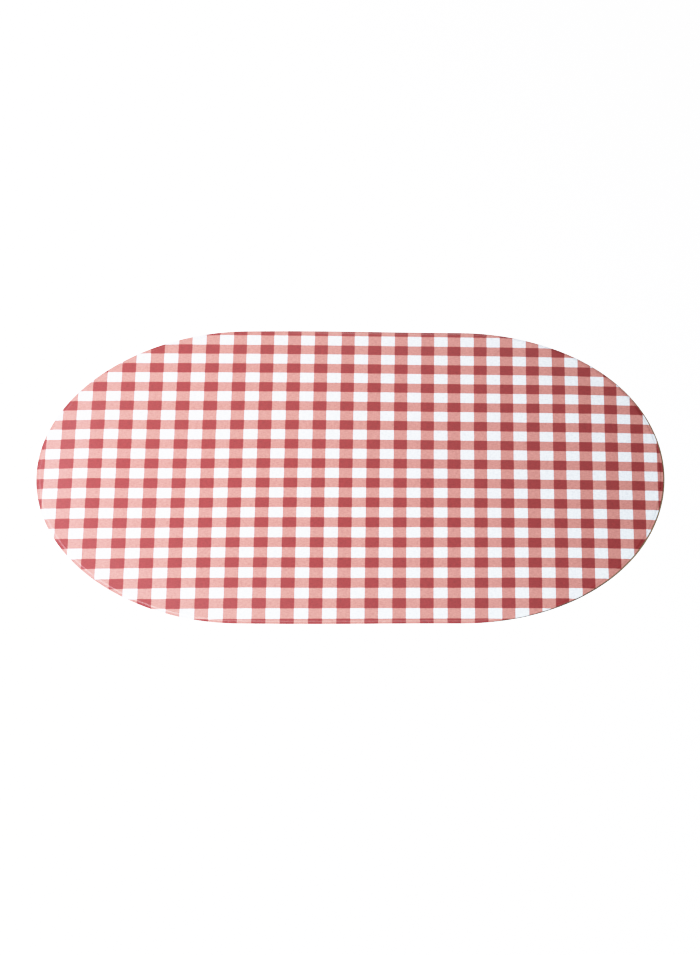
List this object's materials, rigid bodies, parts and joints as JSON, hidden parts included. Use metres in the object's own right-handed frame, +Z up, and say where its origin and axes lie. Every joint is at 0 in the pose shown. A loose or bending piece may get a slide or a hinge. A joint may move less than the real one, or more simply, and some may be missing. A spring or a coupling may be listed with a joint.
{
  "type": "oval placemat",
  "caption": "Oval placemat of coated cloth printed with a red and white gingham check, with a pressed line inside the rolled edge and a plain tan backing.",
  "frame": {"origin": "centre of the mat's underside, on the table", "axes": "+X along the mat's length, to the right as it lies in front of a diner; +Y across it, away from the diner; +Z up, out of the printed face"},
  "size_m": [0.46, 0.3, 0.0023],
  "materials": {
    "printed_face": "smooth satin coated cloth with a fine grain, printed with a red, pink and white gingham check",
    "tan_backing": "matt coated cloth, plain tan, fine grain"
  },
  "bodies": {
    "root": {"backing_sheet": "tan_backing", "face_sheet": "printed_face"}
  },
  "joints": []
}
